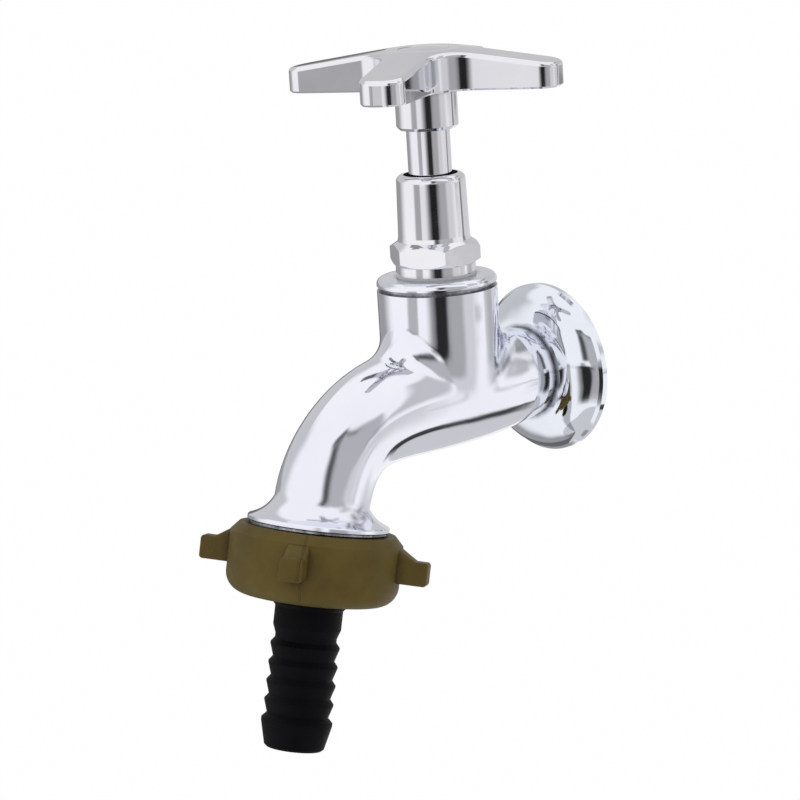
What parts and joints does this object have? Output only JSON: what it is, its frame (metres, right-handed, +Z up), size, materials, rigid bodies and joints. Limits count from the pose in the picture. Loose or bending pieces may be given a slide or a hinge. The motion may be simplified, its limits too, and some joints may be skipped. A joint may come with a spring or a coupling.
{
  "type": "garden tap",
  "caption": "Chromed screw-down garden tap with a cross handle, round wall flange, curved spout and a winged coupling nut that holds a ribbed hose tail.",
  "frame": {"origin": "point where the inlet axis crosses the plane of the wall", "axes": "+Y along the inlet axis into the wall, +Z up along the spindle, +X to the right as seen by someone who faces the wall"},
  "size_m": [0.0632, 0.115, 0.1669],
  "materials": {
    "chrome_body": "bright chrome plate",
    "chrome_flange": "bright chrome plate",
    "chrome_bonnet": "bright chrome plate",
    "chrome_handle": "bright chrome plate",
    "chrome_spindle": "polished plate",
    "chrome_cap": "bright chrome plate",
    "brass": "turned, unplated",
    "steel_screw": "zinc plated",
    "grey_fibre": "pressed fibre",
    "graphite_packing": "greased",
    "black_rubber": "matt",
    "olive_plastic": "moulded, soft sheen",
    "black_plastic": "moulded, matt"
  },
  "bodies": {
    "tap": {"tap_body": "chrome_body", "wall_flange": "chrome_flange", "bonnet_gasket": "grey_fibre", "bonnet": "chrome_bonnet", "gland_washer": "brass", "gland_packing": "graphite_packing", "gland_nut": "chrome_bonnet"},
    "valve": {"jumper": "brass", "tap_washer": "black_rubber", "washer_nut": "brass"},
    "handle": {"spindle": "chrome_spindle", "cross_handle": "chrome_handle", "lock_washer": "steel_screw", "handle_screw": "steel_screw", "index_cap": "chrome_cap"},
    "tail": {"hose_washer": "black_rubber", "hose_tail": "black_plastic"},
    "nut": {"coupling_nut": "olive_plastic"}
  },
  "joints": [
    {"name": "valve_lift", "type": "slide", "parent": "tap", "child": "valve", "axis": [0, 0, 1], "range_m": [0, 0.00531]},
    {"name": "handle_turn", "type": "hinge", "parent": "valve", "child": "handle", "pos_m": [0, -0.0365, 0.05], "axis": [0, 0, 1], "range_deg": [0, 765]},
    {"name": "tail_drop", "type": "slide", "parent": "tap", "child": "tail", "axis": [0, -0.2284, -0.9736], "range_m": [0, 0.01039]},
    {"name": "nut_turn", "type": "hinge", "parent": "tail", "child": "nut", "pos_m": [0, -0.08185, -0.03396], "axis": [0, -0.2284, -0.9736], "range_deg": [0, 1620]}
  ],
  "couplings": [
    {"joint": "handle_turn", "follows": "valve_lift", "rad_per_m": 2513.3},
    {"joint": "nut_turn", "follows": "tail_drop", "rad_per_m": 2721.2}
  ]
}
